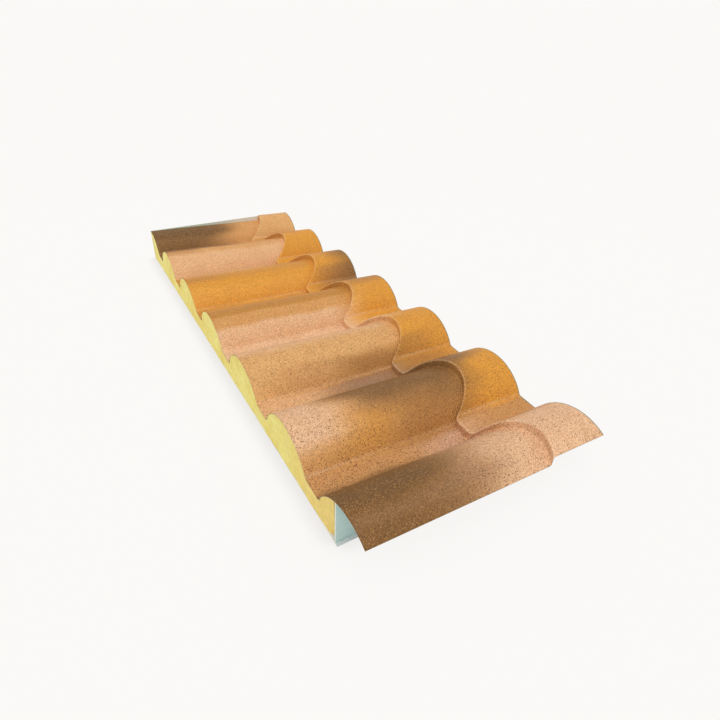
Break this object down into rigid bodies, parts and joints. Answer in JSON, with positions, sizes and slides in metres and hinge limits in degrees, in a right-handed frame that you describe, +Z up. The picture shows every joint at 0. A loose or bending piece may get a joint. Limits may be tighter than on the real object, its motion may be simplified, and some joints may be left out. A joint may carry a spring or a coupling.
{
  "type": "tile effect roof panel",
  "caption": "Short cut of an insulated metal roof panel: rounded tile waves with one tile step on top, a foam core and a flat lower facing.",
  "frame": {"origin": "on the floor, at the middle of the panel's bounding box", "axes": "+X up the roof slope along the barrels, +Y across the barrels away from the lapping edge, +Z up"},
  "size_m": [0.368, 1.045, 0.0747],
  "materials": {
    "tile_paint": "matte",
    "foam": "matte",
    "white_steel": "satin",
    "joint_tape": "matte"
  },
  "bodies": {
    "root": {"top_skin": "tile_paint", "foam_core": "foam", "bottom_facing": "white_steel", "joint_tape_near": "joint_tape", "joint_tape_far": "joint_tape"}
  },
  "joints": []
}
